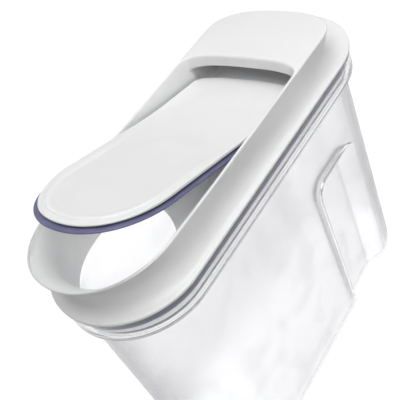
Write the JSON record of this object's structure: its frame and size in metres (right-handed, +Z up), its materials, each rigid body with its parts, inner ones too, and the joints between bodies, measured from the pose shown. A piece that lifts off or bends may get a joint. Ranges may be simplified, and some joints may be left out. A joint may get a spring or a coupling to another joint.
{
  "type": "pet food bin",
  "caption": "Narrow clear kibble container with a lift-off white lid, silicone seals and a rocking pour door at one end; the long sides have hand grips.",
  "frame": {"origin": "on the floor, under the middle of the container", "axes": "+Z up, +Y along the length away from the pouring end, +X towards the right-hand grip"},
  "size_m": [0.1, 0.2658, 0.2475],
  "materials": {
    "clear_plastic": "clear, polished",
    "white_plastic": "soft satin",
    "white_inner_plastic": "satin",
    "blue_silicone": "translucent satin silicone",
    "pin_metal": "drawn"
  },
  "bodies": {
    "container": {"container": "clear_plastic"},
    "lid": {"lid_shell": "white_plastic", "lid_tray": "white_inner_plastic", "lid_gasket": "blue_silicone", "hinge_pin_right": "pin_metal", "hinge_pin_left": "pin_metal"},
    "door": {"door_cover": "white_plastic", "door_liner": "white_inner_plastic", "door_gasket": "blue_silicone"}
  },
  "joints": [
    {"name": "lid_lift", "type": "slide", "parent": "container", "child": "lid", "axis": [0, 0, 1], "range_m": [0, 0.06]},
    {"name": "door_rock", "type": "hinge", "parent": "lid", "child": "door", "pos_m": [0, 0, 0.20414], "axis": [1, 0, 0], "range_deg": [0, 18]}
  ]
}
